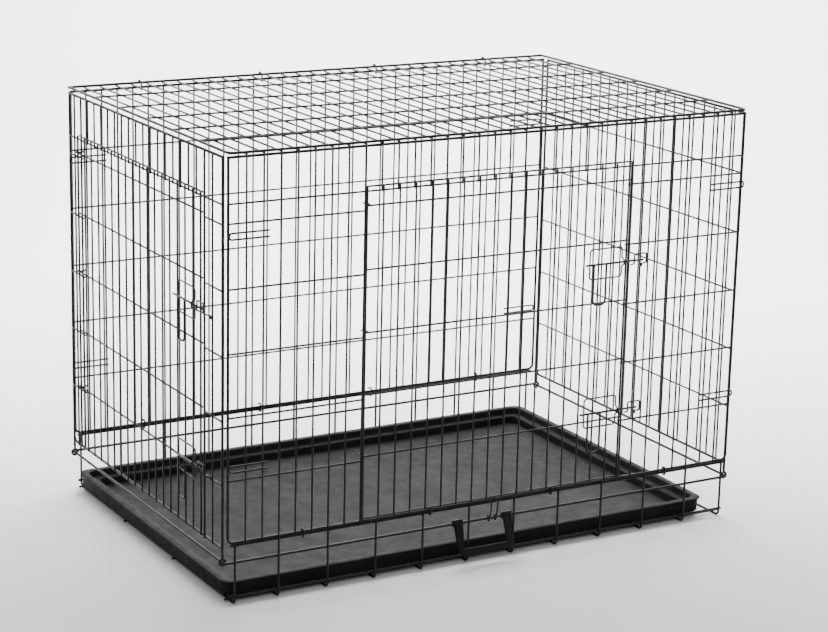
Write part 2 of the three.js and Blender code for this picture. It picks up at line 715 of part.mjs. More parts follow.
// ---------------------------------------------------------------- fold clip
function foldClip() {
  const eye = EDGE_R + 0.7 + CLIP_R;
  const y = -SIDE_Y - eye;
  const stand = -SIDE_Y - crossN - BASE_R - GAP - CLIP_R;
  const upper = SIDE_BOTTOM_Z + DOOR_FOOT - THIN_R - GAP - CLIP_R;
  const parts = [];
  for (const side of [-1, 1]) {
    const ring = new THREE.TorusGeometry(eye, CLIP_R, 5, 10);
    ring.rotateY(Math.PI / 2);
    ring.translate(CLIP_X + (side * CLIP_W) / 2, -SIDE_Y, LOW_RAIL_Z);
    parts.push(ring);
  }
  const x0 = CLIP_X - CLIP_W / 2;
  const x1 = CLIP_X + CLIP_W / 2;
  const corners = [
    new THREE.Vector3(x0, y, LOW_RAIL_Z),
    new THREE.Vector3(x0, stand, LOW_RAIL_Z + 18),
    new THREE.Vector3(x0, stand, upper),
    new THREE.Vector3(x1, stand, upper),
    new THREE.Vector3(x1, stand, LOW_RAIL_Z + 18),
    new THREE.Vector3(x1, y, LOW_RAIL_Z),
  ];
  parts.push(bentWire(roundCorners(corners, 6, 2), CLIP_R, X, 5));
  return weld(parts);
}
addMesh('fold_clip', foldClip());

export default crate;
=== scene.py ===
"""Wire dog crate: round powder-coated wires, moulded pan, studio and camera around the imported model."""
import math

import bpy
from mathutils import Matrix, Vector


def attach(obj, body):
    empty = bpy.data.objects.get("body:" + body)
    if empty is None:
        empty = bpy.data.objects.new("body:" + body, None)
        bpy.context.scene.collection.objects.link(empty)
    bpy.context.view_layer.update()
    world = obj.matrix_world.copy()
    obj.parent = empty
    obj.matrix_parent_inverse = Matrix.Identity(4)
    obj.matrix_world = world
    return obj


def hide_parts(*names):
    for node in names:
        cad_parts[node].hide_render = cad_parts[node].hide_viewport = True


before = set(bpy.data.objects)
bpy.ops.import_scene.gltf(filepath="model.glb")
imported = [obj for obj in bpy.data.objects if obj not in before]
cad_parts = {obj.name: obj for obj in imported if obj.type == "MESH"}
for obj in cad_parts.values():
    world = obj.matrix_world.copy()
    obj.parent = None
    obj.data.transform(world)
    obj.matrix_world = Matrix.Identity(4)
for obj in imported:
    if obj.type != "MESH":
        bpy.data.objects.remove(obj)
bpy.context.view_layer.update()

# ------------------------------------------------------------ sizes, in millimetres, as in the CAD
LENGTH, WIDTH, HEIGHT = 1067.0, 700.0, 792.3
EDGE_R, THIN_R, DOOR_R, BASE_R = 2.3, 1.6, 1.8, 2.0  # panel edges, grilles, door edges, base cross wires
FLOOR_R = THIN_R + 0.2  # lengthwise wires under the pan
WELD, GAP = 0.4, 0.3  # how far welded wires sink into each other, and the space between separate pieces
COAT = 0.15  # thickness of the powder coat on every wire
CORNER_R = 10  # bend at the bottom corners of the panels
OVERRUN = 1.2  # grille wires past the middle of the edge wire they are welded to

SIDE_BAYS, END_BAYS, LEVELS = 33, 21, 6
RAIL_Z, LOW_RAIL_Z, FLOOR_RAIL_Z, END_LOW = 108.0, 77.0, 14.0, 102.0
FRONT_DOOR, END_DOOR = (8, 25), (2, 19)  # grille wires at the hinge side and the latch side of each door
DOOR_TOP_LEVEL, DOOR_RISE, DOOR_FOOT = 5.3, 10.0, 7.0
BASE_EVERY, FLOOR_ROWS = 3, 4  # a base cross wire under every third grille wire, and the floor's long wires
BASE_BEND_R, BASE_TIP = 9, 1.4  # bend of the cross wires, and how far they end above the top rail
BASE_END_INSET, FLOOR_ROW_INSET, RAIL_END_INSET = 12, 14, 4
END_PANEL_GAP, END_SIDE_GAP = 1.2, 4.6  # from the end panels to the long panels' ends, and to their faces
RAIL_GAP, TOP_GAP = 0.4, 0.4  # play above the base's rails, and below the top panel's wires
TOP_OVERHANG, TOP_REACH = 7.6, 4  # top panel's back and front wires beyond the long panels' edge wires

POST_X = LENGTH / 2 - EDGE_R
SIDE_Y = WIDTH / 2 - EDGE_R
END_X = POST_X + 2 * EDGE_R + END_PANEL_GAP
END_Y = SIDE_Y - 2 * EDGE_R - END_SIDE_GAP
SIDE_LOW, SIDE_HIGH = RAIL_Z + 2 * EDGE_R + RAIL_GAP, HEIGHT - EDGE_R
SIDE_PITCH, END_PITCH = 2 * POST_X / SIDE_BAYS, 2 * END_Y / END_BAYS
VERTICAL_N = EDGE_R + THIN_R - WELD
ROW_N = VERTICAL_N - 2 * THIN_R + WELD
BASE_N = EDGE_R + BASE_R - WELD  # base cross wires outside the rails
TOP_Z = SIDE_HIGH + EDGE_R + GAP + 2 * THIN_R + EDGE_R - WELD
END_HIGH = TOP_Z - VERTICAL_N - THIN_R - GAP - EDGE_R - TOP_GAP
TOP_BACK, TOP_FRONT = SIDE_Y + TOP_OVERHANG, -SIDE_Y - TOP_REACH

RING_R, DOOR_RING_R = 1.5, 1.3
RING_ROWS, DOOR_RINGS = 4, 3
RING_CLEAR = 0.8  # round a wire inside a hinge ring
BACK_RING_SLACK = 3  # play that lets the back panel climb over the folded front
DOOR_ROW_N = VERTICAL_N + DOOR_R + GAP + THIN_R
DOOR_N = DOOR_ROW_N + 2 * THIN_R - 0.25
DOOR_HINGE_N = DOOR_ROW_N + 2 * THIN_R + 0.05

LATCH_LEVELS = {"lower": (1.25, 1.15), "upper": (3.76, 3.66)}  # on the front door and on the end door
BOLT_R, BOLT_LENGTH, BOLT_REACH = 1.9, 126, 29
HANDLE_W, HANDLE_DROP, HANDLE_INSET = 27, 76, 52
GUIDE_R, GUIDE_W, GUIDE_H, GUIDE_INSET = 1.4, 70, 56, 16
ARCH_TOP, ARCH_FOOT, ARCH_TAIL = 3.5, 9, 4  # half widths of the guide's arch, and its straight ends
KEEPER_H, KEEPER_INSET, KEEPER_PAST = 26, 7, 1  # legs past the opening's wire and past the next wire
GUIDE_N = DOOR_HINGE_N + THIN_R + GAP + GUIDE_R
BOLT_N = GUIDE_N + GUIDE_R + GAP + BOLT_R
ARCH_N = BOLT_N + BOLT_R + GAP + GUIDE_R
KEEPER_N = VERTICAL_N + THIN_R + GAP + 0.4 + GUIDE_R

CATCH_LENGTH, CATCH_H, CATCH_LEVELS = 74, 11, (1.2, 4.82)
CATCH_N = VERTICAL_N + 2 * THIN_R - 0.15
CLIP_X, CLIP_W, CLIP_R, CLIP_KNEE = 3.5, 14, 1.5, 18

PAN_CLEAR, PAN_END_CLEAR, PAN_SHIFT = 6.0, 18.0, -20.0
PAN_LOW, PAN_RIM_H, PAN_WALL, PAN_STEP = 7.5, 30, 2.5, 12

# Radii of the weld marks, and how far out they lie
CROSS_MARK, EDGE_MARK, CORNER_MARK = 0.95 * THIN_R, 1.05 * THIN_R, 1.12 * EDGE_R
RAIL_MARK, FLOOR_MARK, LEG_MARK = 1.25 * THIN_R, 1.2 * THIN_R, 1.25 * BOLT_R
CROSS_MARK_N, DOOR_MARK_N, EDGE_MARK_N = VERTICAL_N - THIN_R, DOOR_N - THIN_R, EDGE_R - 0.2
RAIL_MARK_Y = SIDE_Y + EDGE_R - 0.3

WIRE_SIDES, SMALL_WIRE_SIDES, MARK_SIDES = 12, 10, 6
MM = 0.001


# ------------------------------------------------------------ materials
def node_material(name, base, roughness):
    mat = bpy.data.materials.new(name)
    mat.use_nodes = True
    tree = mat.node_tree
    bsdf = tree.nodes["Principled BSDF"]
    bsdf.inputs["Base Color"].default_value = (*base, 1)
    bsdf.inputs["Roughness"].default_value = roughness
    return mat, tree, bsdf


def link_noise(tree, scale, detail=3.0, rough=0.6):
    coords = tree.nodes.new("ShaderNodeTexCoord")
    noise = tree.nodes.new("ShaderNodeTexNoise")
    noise.inputs["Scale"].default_value = scale
    noise.inputs["Detail"].default_value = detail
    noise.inputs["Roughness"].default_value = rough
    tree.links.new(coords.outputs["Object"], noise.inputs["Vector"])
    return noise


def link_roughness(tree, source, low, high, bsdf, start=0.3, end=0.7):
    node = tree.nodes.new("ShaderNodeMapRange")
    node.inputs["From Min"].default_value = start
    node.inputs["From Max"].default_value = end
    node.inputs["To Min"].default_value = low
    node.inputs["To Max"].default_value = high
    tree.links.new(source.outputs["Fac"], node.inputs["Value"])
    tree.links.new(node.outputs["Result"], bsdf.inputs["Roughness"])


def link_colour(tree, source, dark, pale, bsdf, start=0.3, end=0.7):
    node = tree.nodes.new("ShaderNodeValToRGB")
    node.color_ramp.elements[0].position = start
    node.color_ramp.elements[0].color = (*dark, 1)
    node.color_ramp.elements[1].position = end
    node.color_ramp.elements[1].color = (*pale, 1)
    tree.links.new(source.outputs["Fac"], node.inputs["Fac"])
    tree.links.new(node.outputs["Color"], bsdf.inputs["Base Color"])


def link_bump(tree, source, strength, bsdf):
    node = tree.nodes.new("ShaderNodeBump")
    node.inputs["Strength"].default_value = strength
    node.inputs["Distance"].default_value = 0.0001
    tree.links.new(source.outputs["Fac"], node.inputs["Height"])
    tree.links.new(node.outputs["Normal"], bsdf.inputs["Normal"])


def powder_coat(name, dark, pale, low, high):
    """Satin black powder coat: fine orange peel, and slow changes of tone and gloss along the wire."""
    mat, tree, bsdf = node_material(name, dark, low)
    link_colour(tree, link_noise(tree, 18.0), dark, pale, bsdf)
    link_roughness(tree, link_noise(tree, 75.0, 4.0), low, high, bsdf)
    link_bump(tree, link_noise(tree, 1400.0, 2.0), 0.25, bsdf)
    bsdf.inputs["Specular IOR Level"].default_value = 0.2
    bsdf.inputs["Coat Weight"].default_value = 0.04
    bsdf.inputs["Coat Roughness"].default_value = 0.3
    return mat


def moulded_plastic(name, dark, pale, low, high, grain):
    """Black moulded plastic with a fine grain and faint scuffs that catch the light."""
    mat, tree, bsdf = node_material(name, dark, low)
    link_colour(tree, link_noise(tree, 9.0, 5.0), dark, pale, bsdf, 0.35, 0.75)
    link_roughness(tree, link_noise(tree, 38.0, 6.0, 0.7), low, high, bsdf, 0.35, 0.65)
    link_bump(tree, link_noise(tree, grain, 2.0), 0.35, bsdf)
    bsdf.inputs["Specular IOR Level"].default_value = 0.1
    return mat


FRAME_DARK, FRAME_PALE = (0.003, 0.003, 0.0034), (0.008, 0.008, 0.009)
SMALL_DARK, SMALL_PALE = (0.0035, 0.0035, 0.004), (0.009, 0.009, 0.010)
PLASTIC_DARK, PAN_PALE, HANDLE_PALE = (0.006, 0.006, 0.0065), (0.011, 0.011, 0.012), (0.012, 0.012, 0.013)
MATERIALS = {
    "frame_wire": powder_coat("frame_powder_coat", FRAME_DARK, FRAME_PALE, 0.40, 0.52),
    "ring_wire": powder_coat("ring_powder_coat", SMALL_DARK, SMALL_PALE, 0.36, 0.48),
    "latch_wire": powder_coat("latch_powder_coat", SMALL_DARK, SMALL_PALE, 0.36, 0.48),
    "pan_plastic": moulded_plastic("pan_moulded_plastic", PLASTIC_DARK, PAN_PALE, 0.62, 0.76, 900),
    "handle_plastic": moulded_plastic("handle_moulded_plastic", PLASTIC_DARK, HANDLE_PALE, 0.4, 0.55, 1300),
}


# ------------------------------------------------------------ wires
def finish_piece(name, verts, faces, body, slot, node):
    mesh = bpy.data.meshes.new(name)
    mesh.from_pydata([tuple(v) for v in verts], [], faces)
    mesh.update()
    mesh.polygons.foreach_set("use_smooth", [True] * len(mesh.polygons))
    piece = bpy.data.objects.new(name, mesh)
    bpy.context.scene.collection.objects.link(piece)
    mesh.materials.append(MATERIALS[slot])
    edge = piece.modifiers.new("crisp_ends", "EDGE_SPLIT")
    edge.split_angle = math.radians(50)
    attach(piece, body)
    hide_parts(node)


def transport(points, closed):
    """Tangent, normal and binormal at each point, turned as little as the path allows."""
    count = len(points)
    frames = []
    normal = None
    for i, here in enumerate(points):
        before = points[i - 1] if closed or i > 0 else here
        after = points[(i + 1) % count] if closed or i < count - 1 else here
        tangent = Vector()
        if before is not here:
            tangent += (here - before).normalized()
        if after is not here:
            tangent += (after - here).normalized()
        tangent.normalize()
        if normal is None:
            normal = tangent.orthogonal()
        normal = (normal - tangent * normal.dot(tangent)).normalized()
        frames.append((tangent, normal.copy(), tangent.cross(normal)))
    return frames


class Wires:
    """Collects round wires and their weld marks in one mesh."""

    def __init__(self):
        self.verts = []
        self.faces = []

    def ring(self, centre, normal, binormal, radius, sides):
        first = len(self.verts)
        for k in range(sides):
            angle = 2 * math.pi * k / sides
            spoke = normal * math.cos(angle) + binormal * math.sin(angle)
            self.verts.append((centre + spoke * radius) * MM)
        return first

    def join(self, a, b, sides):
        for k in range(sides):
            n = (k + 1) % sides
            self.faces.append((a + k, a + n, b + n, b + k))

    def tube(self, points, radius, closed=False, sides=WIRE_SIDES):
        """A round wire along the points; its open ends are slightly rounded off."""
        radius += COAT
        end_radius, end_length = radius * 0.78, radius * 0.3
        rings = []
        last = len(points) - 1
        for i, (point, (tangent, normal, binormal)) in enumerate(zip(points, transport(points, closed))):
            if closed or 0 < i < last:
                rings.append(self.ring(point, normal, binormal, radius, sides))
                continue
            inward = tangent if i == 0 else -tangent
            soft = self.ring(point, normal, binormal, end_radius, sides)
            full = self.ring(point + inward * end_length, normal, binormal, radius, sides)
            if i == 0:
                rings += [soft, full]
                self.faces.append(tuple(range(soft + sides - 1, soft - 1, -1)))
            else:
                rings += [full, soft]
                self.faces.append(tuple(range(soft, soft + sides)))
        for a, b in zip(rings, rings[1:]):
            self.join(a, b, sides)
        if closed:
            self.join(rings[-1], rings[0], sides)

    def mark(self, point, radius):
        """A small weld mark where two wires cross."""
        top = len(self.verts)
        self.verts.append((point + Vector((0, 0, radius))) * MM)
        rings = []
        for level in (0.5, -0.5):
            width = radius * math.sqrt(1 - level * level)
            centre = point + Vector((0, 0, radius * level))
            rings.append(self.ring(centre, Vector((1, 0, 0)), Vector((0, 1, 0)), width, MARK_SIDES))
        foot = len(self.verts)
        self.verts.append((point - Vector((0, 0, radius))) * MM)
        for k in range(MARK_SIDES):
            n = (k + 1) % MARK_SIDES
            self.faces.append((top, rings[0] + k, rings[0] + n))
            self.faces.append((rings[0] + k, rings[1] + k, rings[1] + n, rings[0] + n))
            self.faces.append((foot, rings[1] + n, rings[1] + k))

    def piece(self, name, body, slot, node):
        finish_piece(name, self.verts, self.faces, body, slot, node)


def rounded(corners, radius, steps=7, closed=False):
    """The path through the corners with an arc at each bend."""
    count = len(corners)
    path = [] if closed else [corners[0]]
    for i in range(count) if closed else range(1, count - 1):
        here = corners[i]
        back = (corners[i - 1] - here).normalized()
        ahead = (corners[(i + 1) % count] - here).normalized()
        half = back.angle(ahead) / 2
        reach = radius / math.tan(half)
        start, end = here + back * reach, here + ahead * reach
        centre = here + (back + ahead).normalized() * (radius / math.sin(half))
        a, b = start - centre, end - centre
        sweep = a.angle(b)
        for k in range(steps + 1):
            f = k / steps
            path.append(centre + (a * math.sin(sweep * (1 - f)) + b * math.sin(sweep * f)) / math.sin(sweep))
    if not closed:
        path.append(corners[-1])
    return path


# ------------------------------------------------------------ panel frames
class Panel:
    """Points by distance along, height and distance outwards."""

    def __init__(self, origin, along, out):
        self.origin, self.along, self.out = Vector(origin), Vector(along), Vector(out)
        self.up = self.out.cross(self.along)

    def at(self, u, v, n):
        return self.origin + self.along * u + self.up * v + self.out * n


FRONT = Panel((0, -SIDE_Y, 0), (1, 0, 0), (0, -1, 0))
BACK = Panel((0, SIDE_Y, 0), (-1, 0, 0), (0, 1, 0))
LEFT = Panel((-END_X, 0, 0), (0, -1, 0), (-1, 0, 0))
RIGHT = Panel((END_X, 0, 0), (0, 1, 0), (1, 0, 0))
TOP = Panel((0, 0, TOP_Z), (1, 0, 0), (0, 0, -1))


def side_u(i):
    return -POST_X + 2 * POST_X * i / SIDE_BAYS


def end_u(i):
    return -END_Y + 2 * END_Y * i / END_BAYS


def side_v(level):
    return SIDE_LOW + (SIDE_HIGH - SIDE_LOW) * level / LEVELS


def end_v(level):
    return END_LOW + (END_HIGH - END_LOW) * level / LEVELS


# ------------------------------------------------------------ panels
def edge_wires(w, panel, half, low, high):
    outline = ((-half, high), (-half, low), (half, low), (half, high))
    w.tube(rounded([panel.at(u, v, 0) for u, v in outline], CORNER_R), EDGE_R)
    w.tube([panel.at(-half - EDGE_R, high, 0), panel.at(half + EDGE_R, high, 0)], EDGE_R)
    for side in (-1, 1):
        w.mark(panel.at(side * half, high, 0), CORNER_MARK)


def grille_wires(w, panel, bays, place, height, door=None):
    """Upright and level wires; those that meet the door's opening stop at it."""
    half = abs(place(0))
    opening = height(DOOR_TOP_LEVEL)
    first, last = door or (bays, bays)
    rows = [(height(level), True) for level in range(1, LEVELS)]
    if door:
        rows.append((opening, False))
    for i in range(1, bays):
        inside = first < i < last
        low, high = opening - THIN_R if inside else height(0) - OVERRUN, height(LEVELS) + OVERRUN
        radius = DOOR_R if i in (first, last) else THIN_R
        w.tube([panel.at(place(i), low, VERTICAL_N), panel.at(place(i), high, VERTICAL_N)], radius)
        for v, cut in rows:
            if not inside or not cut:
                w.mark(panel.at(place(i), v, CROSS_MARK_N), CROSS_MARK)
        for v in (height(0), height(LEVELS)):
            if v > low:
                w.mark(panel.at(place(i), v, EDGE_MARK_N), EDGE_MARK)
    for v, cut in rows:
        spans = [(-half, place(first) + 1), (place(last) - 1, half)] if door and cut else [(-half, half)]
        for u0, u1 in spans:
            w.tube([panel.at(u0, v, ROW_N), panel.at(u1, v, ROW_N)], THIN_R)


def long_panel(name, panel, door=None):
    w = Wires()
    edge_wires(w, panel, POST_X, SIDE_LOW, SIDE_HIGH)
    grille_wires(w, panel, SIDE_BAYS, side_u, side_v, door)
    w.piece(f"{name}_wires", name, "frame_wire", name)


def end_panel(name, panel, door=None):
    w = Wires()
    edge_wires(w, panel, END_Y, END_LOW, END_HIGH)
    curl_r = 2 * EDGE_R + RING_CLEAR
    for side in (-1, 1):
        # The post runs on below the bottom wire and curls round the base's lower rail.
        u = side * END_Y
        curl = [panel.at(u, END_LOW + 12, 0), panel.at(u, LOW_RAIL_Z + curl_r + 9, 0)]
        for k in range(27):
            angle = math.radians(90 - k * 13)
            curl.append(panel.at(u, LOW_RAIL_Z + curl_r * math.sin(angle), curl_r * math.cos(angle)))
        w.tube(curl, EDGE_R)
    grille_wires(w, panel, END_BAYS, end_u, end_v, door)
    w.piece(f"{name}_wires", name, "frame_wire", name)


def top_panel():
    w = Wires()
    corners = [
        TOP.at(-POST_X, -TOP_BACK, 0), TOP.at(-POST_X, -TOP_FRONT, 0),
        TOP.at(POST_X, -TOP_FRONT, 0), TOP.at(POST_X, -TOP_BACK, 0),
    ]
    w.tube(rounded(corners, CORNER_R), EDGE_R)
    w.tube([TOP.at(-POST_X - EDGE_R, -TOP_BACK, 0), TOP.at(POST_X + EDGE_R, -TOP_BACK, 0)], EDGE_R)
    rows = [TOP_FRONT + (TOP_BACK - TOP_FRONT) * k / LEVELS for k in range(1, LEVELS)]
    for i in range(1, SIDE_BAYS):
        u = side_u(i)
        back, front = TOP.at(u, -TOP_BACK - OVERRUN, VERTICAL_N), TOP.at(u, -TOP_FRONT + OVERRUN, VERTICAL_N)
        w.tube([back, front], THIN_R)
        for y in rows:
            w.mark(TOP.at(u, -y, CROSS_MARK_N), CROSS_MARK)
        for y in (TOP_FRONT, TOP_BACK):
            w.mark(TOP.at(u, -y, EDGE_MARK_N), EDGE_MARK)
    for y in rows:
        w.tube([TOP.at(-POST_X, -y, ROW_N), TOP.at(POST_X, -y, ROW_N)], THIN_R)
    w.piece("top_panel_wires", "top_panel", "frame_wire", "top_panel")


def door(name, panel, place, height, span):
    w = Wires()
    u0, u1 = place(span[0]), place(span[1])
    low, high = height(0) + DOOR_FOOT, height(DOOR_TOP_LEVEL) + DOOR_RISE
    for u in (u0, u1):
        w.tube([panel.at(u, low - 1, DOOR_HINGE_N), panel.at(u, high + 1, DOOR_HINGE_N)], DOOR_R)
    rows = [low, high] + [height(level) + DOOR_RISE for level in range(1, LEVELS)]
    for i in range(span[0] + 1, span[1]):
        w.tube([panel.at(place(i), low - 1, DOOR_N), panel.at(place(i), high + 1, DOOR_N)], THIN_R)
        for v in rows:
            w.mark(panel.at(place(i), v, DOOR_MARK_N), CROSS_MARK)
    for v in rows:
        w.tube([panel.at(u0 - 1, v, DOOR_ROW_N), panel.at(u1 + 1, v, DOOR_ROW_N)], THIN_R)
        for u in (u0, u1):
            w.mark(panel.at(u, v, DOOR_MARK_N), THIN_R)
    w.piece(f"{name}_wires", name, "frame_wire", name)


long_panel("front_panel", FRONT, FRONT_DOOR)
long_panel("back_panel", BACK)
end_panel("left_end_panel", LEFT, END_DOOR)
end_panel("right_end_panel", RIGHT)
top_panel()
door("front_door", FRONT, side_u, side_v, FRONT_DOOR)
door("left_end_door", LEFT, end_u, end_v, END_DOOR)


# ------------------------------------------------------------ base basket
def base_basket():
    w = Wires()
    cross_y, cross_z = SIDE_Y + BASE_N, RAIL_Z + BASE_TIP
    row_z = 2 * BASE_R + THIN_R
    row_ys = [(2 * row / (FLOOR_ROWS - 1) - 1) * (SIDE_Y - FLOOR_ROW_INSET) for row in range(FLOOR_ROWS)]
    inset = {0: BASE_END_INSET, SIDE_BAYS: -BASE_END_INSET}
    for i in range(0, SIDE_BAYS + 1, BASE_EVERY):
        x = side_u(i) + inset.get(i, 0)
        outline = ((-cross_y, cross_z), (-cross_y, BASE_R), (cross_y, BASE_R), (cross_y, cross_z))
        w.tube(rounded([Vector((x, y, z)) for y, z in outline], BASE_BEND_R), BASE_R)
        for side in (-1, 1):
            for z in (RAIL_Z, LOW_RAIL_Z, FLOOR_RAIL_Z):
                w.mark(Vector((x, side * RAIL_MARK_Y, z)), RAIL_MARK)
        for y in row_ys:
            w.mark(Vector((x, y, 2 * BASE_R)), FLOOR_MARK)
    rail_x = POST_X - RAIL_END_INSET
    for y in (-SIDE_Y, SIDE_Y):
        for z in (RAIL_Z, FLOOR_RAIL_Z):
            w.tube([Vector((-rail_x, y, z)), Vector((rail_x, y, z))], EDGE_R)
    for y in row_ys:
        w.tube([Vector((-POST_X, y, row_z)), Vector((POST_X, y, row_z))], FLOOR_R)
    outline = ((END_X, -SIDE_Y), (END_X, SIDE_Y), (-END_X, SIDE_Y), (-END_X, -SIDE_Y))
    corners = [Vector((x, y, LOW_RAIL_Z)) for x, y in outline]
    w.tube(rounded(corners, 3.5, 5, closed=True), EDGE_R, closed=True)
    w.piece("base_basket_wires", "base", "frame_wire", "base_basket")


base_basket()


# ------------------------------------------------------------ hinge rings
def c_ring(name, body, a, b, axis, inner, radius=RING_R):
    """A wire ring clinched shut round two wires, with the cut where its ends meet."""
    reach = inner + radius
    up = (b - a).normalized()
    half = (b - a).length / 2
    side = up.cross(axis)
    middle = (a + b) / 2
    cut, steps = math.radians(5), 30
    path = []
    for k in range(steps + 1):
        angle = cut + (2 * math.pi - 2 * cut) * k / steps
        x, y = reach * math.cos(angle), reach * math.sin(angle)
        path.append(middle + side * x + up * (y + math.copysign(half, y)))
    w = Wires()
    w.tube(path, radius, sides=SMALL_WIRE_SIDES)
    w.piece(f"{name}_wire", body, "ring_wire", name)


def long_edge_rings(number):
    """The front, back and top ring in the middle of one bay."""
    axis, inner = Vector((1, 0, 0)), EDGE_R + RING_CLEAR
    x = side_u(math.floor((number - 0.5) * SIDE_BAYS / RING_ROWS) + 0.5)
    front_rail, front_foot = Vector((x, -SIDE_Y, RAIL_Z)), Vector((x, -SIDE_Y, SIDE_LOW))
    c_ring(f"front_hinge_ring_{number}", "base", front_rail, front_foot, axis, inner)
    back_rail, back_foot = Vector((x, SIDE_Y, RAIL_Z)), Vector((x, SIDE_Y, SIDE_LOW + BACK_RING_SLACK))
    c_ring(f"back_hinge_ring_{number}", "base", back_rail, back_foot, axis, inner + GAP)
    back_top, top_edge = Vector((x, SIDE_Y, SIDE_HIGH)), Vector((x, TOP_BACK, TOP_Z))
    c_ring(f"top_hinge_ring_{number}", "back_panel", back_top, top_edge, axis, inner)


def door_rings(name, panel, u, height, body):
    """Rings just above every second cross wire of the door, on its hinge side."""
    for k in range(DOOR_RINGS):
        v = height(1 + 2 * k) + DOOR_RISE + RING_R + THIN_R + 2 * GAP
        fixed, moving = panel.at(u, v, VERTICAL_N), panel.at(u, v, DOOR_HINGE_N)
        ring = f"{name}_hinge_ring_{k + 1}"
        c_ring(ring, body, fixed, moving, Vector((0, 0, 1)), DOOR_R + RING_CLEAR, DOOR_RING_R)


for number in range(1, RING_ROWS + 1):
    long_edge_rings(number)
door_rings("front_door", FRONT, side_u(FRONT_DOOR[0]), side_v, "front_panel")
door_rings("left_end_door", LEFT, end_u(END_DOOR[0]), end_v, "left_end_panel")


# ------------------------------------------------------------ latches
def latch_bolt(name, panel, edge, v):
    tip = edge + BOLT_REACH
    w = Wires()
    w.tube([panel.at(tip - BOLT_LENGTH, v, BOLT_N), panel.at(tip, v, BOLT_N)], BOLT_R)
    w.piece(f"{name}_rod", name, "latch_wire", name)


def latch_handle(name, panel, edge, v):
    """A long loop welded to the bolt by its two legs."""
    near, foot = edge - HANDLE_INSET, v - HANDLE_DROP
    far = near - HANDLE_W
    w = Wires()
    grip = [panel.at(u, z, BOLT_N) for u, z in ((far, v), (far, foot), (near, foot), (near, v))]
    w.tube(rounded(grip, 10, 8), BOLT_R)
    for leg in (far, near):
        w.mark(panel.at(leg, v - BOLT_R, BOLT_N), LEG_MARK)
    w.piece(f"{name}_grip", name, "latch_wire", name)


def latch_guide(name, panel, edge, v, body):
    """A flat loop on the door, whose near side arches over the bolt and holds it."""
    near, half_h = edge - GUIDE_INSET, GUIDE_H / 2
    far = near - GUIDE_W
    foot, top = panel.at(near, v - ARCH_FOOT, GUIDE_N), panel.at(near, v + ARCH_FOOT, GUIDE_N)
    below, above = foot - panel.up * ARCH_TAIL, top + panel.up * ARCH_TAIL
    outline = ((near, v - half_h), (far, v - half_h), (far, v + half_h), (near, v + half_h))
    loop = rounded([below] + [panel.at(u, z, GUIDE_N) for u, z in outline] + [above], 6, 6)
    arch = [panel.at(near, v + ARCH_TOP, ARCH_N), panel.at(near, v - ARCH_TOP, ARCH_N)]
    over = rounded([above, top] + arch + [foot, below], 1.6, 4)
    w = Wires()
    w.tube(loop[:-1] + over[:-1], GUIDE_R, closed=True, sides=SMALL_WIRE_SIDES)
    w.piece(f"{name}_wire", body, "latch_wire", name)


def latch_keeper(name, panel, edge, pitch, v, body):
    """It stands on two grille wires of the panel and arches over the bolt's end."""
    near, far, high = edge + KEEPER_INSET, edge + pitch + KEEPER_PAST, v + KEEPER_H / 2
    outline = [
        (near, v - 10, KEEPER_N + 2.5), (near, v - 5, ARCH_N), (near, high, ARCH_N),
        (far, high, ARCH_N), (far, v - 5, ARCH_N), (far, v - 10, KEEPER_N), (far, v - 16, KEEPER_N),
    ]
    w = Wires()
    w.tube(rounded([panel.at(*point) for point in outline], 2.0, 4), GUIDE_R, sides=SMALL_WIRE_SIDES)
    w.piece(f"{name}_wire", body, "latch_wire", name)


def latch(name, panel, edge, pitch, v, door_body, panel_body):
    latch_bolt(f"{name}_bolt", panel, edge, v)
    latch_handle(f"{name}_handle", panel, edge, v)
    latch_guide(f"{name}_guide", panel, edge, v, door_body)
    latch_keeper(f"{name}_keeper", panel, edge, pitch, v, panel_body)


front_edge, end_edge = side_u(FRONT_DOOR[1]), end_u(END_DOOR[1])
for row, (side_level, end_level) in LATCH_LEVELS.items():
    front_name, end_name = f"front_{row}", f"left_end_{row}"
    latch(front_name, FRONT, front_edge, SIDE_PITCH, side_v(side_level), "front_door", "front_panel")
    latch(end_name, LEFT, end_edge, END_PITCH, end_v(end_level), "left_end_door", "left_end_panel")


# ------------------------------------------------------------ end catches
def catches(name, panel, body):
    for side, letter in ((-1, "a"), (1, "b")):
        tip, root = side * (POST_X + 1), side * (POST_X - CATCH_LENGTH)
        for row, level in enumerate(CATCH_LEVELS, 1):
            low, high = side_v(level) - CATCH_H / 2, side_v(level) + CATCH_H / 2
            outline = ((root, low), (tip, low), (tip, high), (root, high))
            catch = f"{name}_catch_{letter}{row}"
            w = Wires()
            w.tube(rounded([panel.at(u, v, CATCH_N) for u, v in outline], 5, 8), THIN_R)
            w.piece(f"{catch}_wire", body, "frame_wire", catch)


catches("front", FRONT, "front_panel")
catches("back", BACK, "back_panel")


